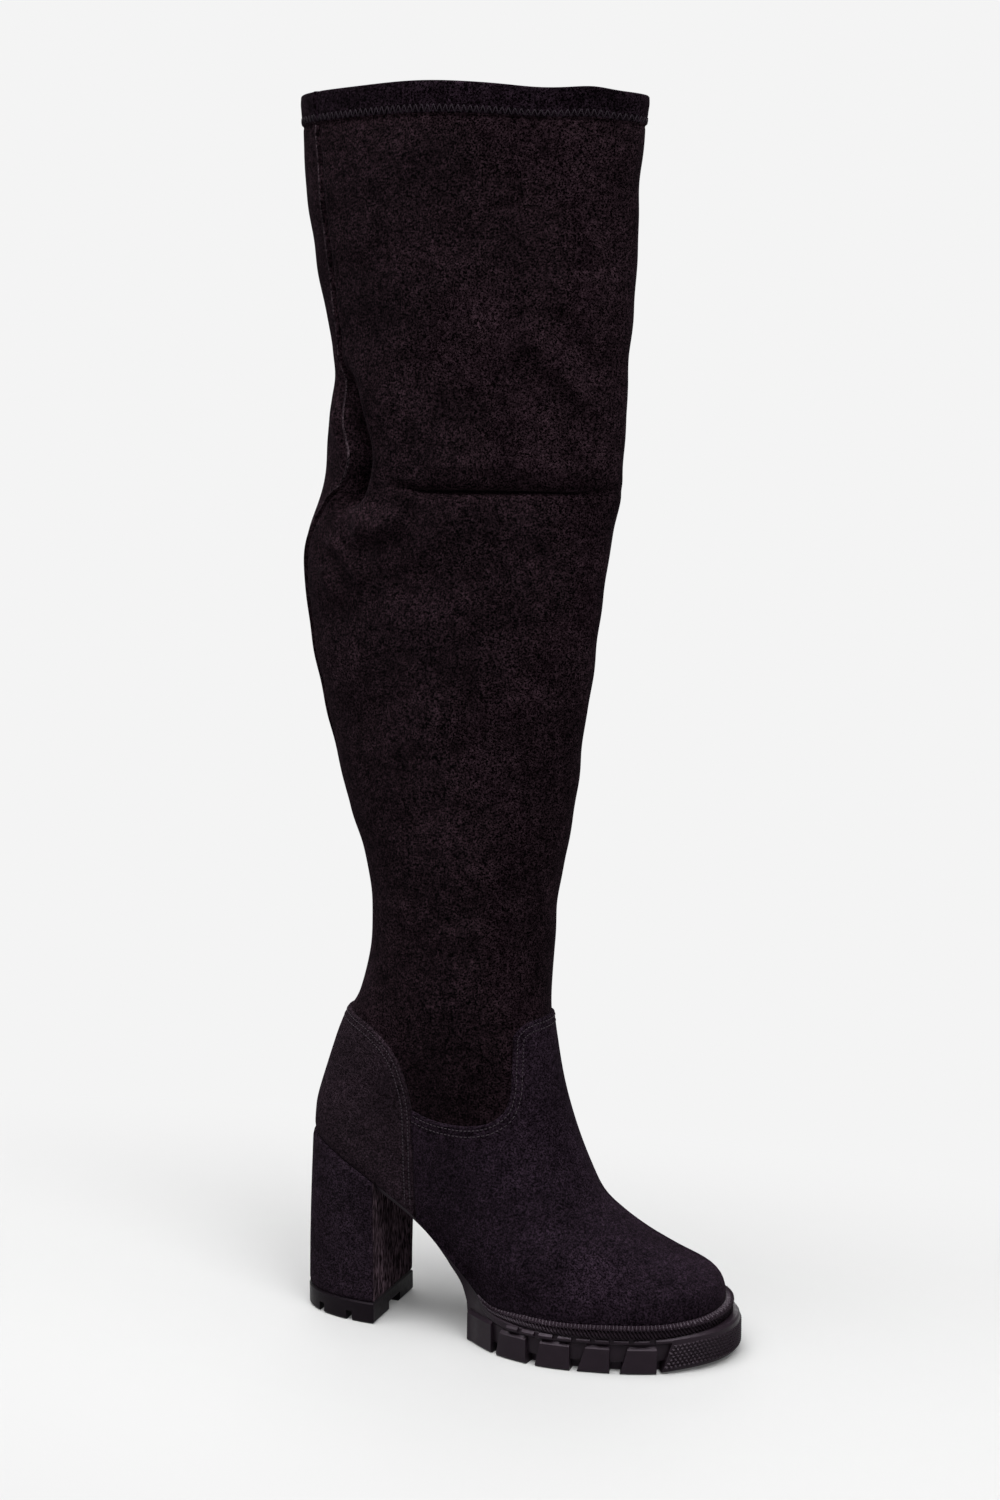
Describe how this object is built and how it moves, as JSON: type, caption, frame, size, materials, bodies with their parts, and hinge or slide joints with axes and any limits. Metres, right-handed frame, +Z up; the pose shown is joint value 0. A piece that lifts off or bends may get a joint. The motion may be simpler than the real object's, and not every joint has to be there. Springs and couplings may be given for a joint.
{
  "type": "over-the-knee heeled boot",
  "caption": "Right over-the-knee boot: slack stretch shaft, suede-look vamp and counter panels, covered block heel and lugged rubber platform sole.",
  "frame": {"origin": "bottom centre of the bounding box, on the floor", "axes": "+X to the toe, +Z up, -Y to the outer side of the boot"},
  "size_m": [0.2452, 0.098, 0.6555],
  "materials": {
    "upper_suede": "napped, matte",
    "panel_suede": "napped, matte",
    "heel_suede": "napped, matte",
    "insole": "matte",
    "sole_rubber": "satin"
  },
  "bodies": {
    "root": {"upper": "upper_suede", "vamp": "panel_suede", "counter": "panel_suede", "insole": "insole", "outsole": "sole_rubber", "rand": "sole_rubber", "heel_block": "heel_suede", "heel_cap": "sole_rubber"}
  },
  "joints": []
}
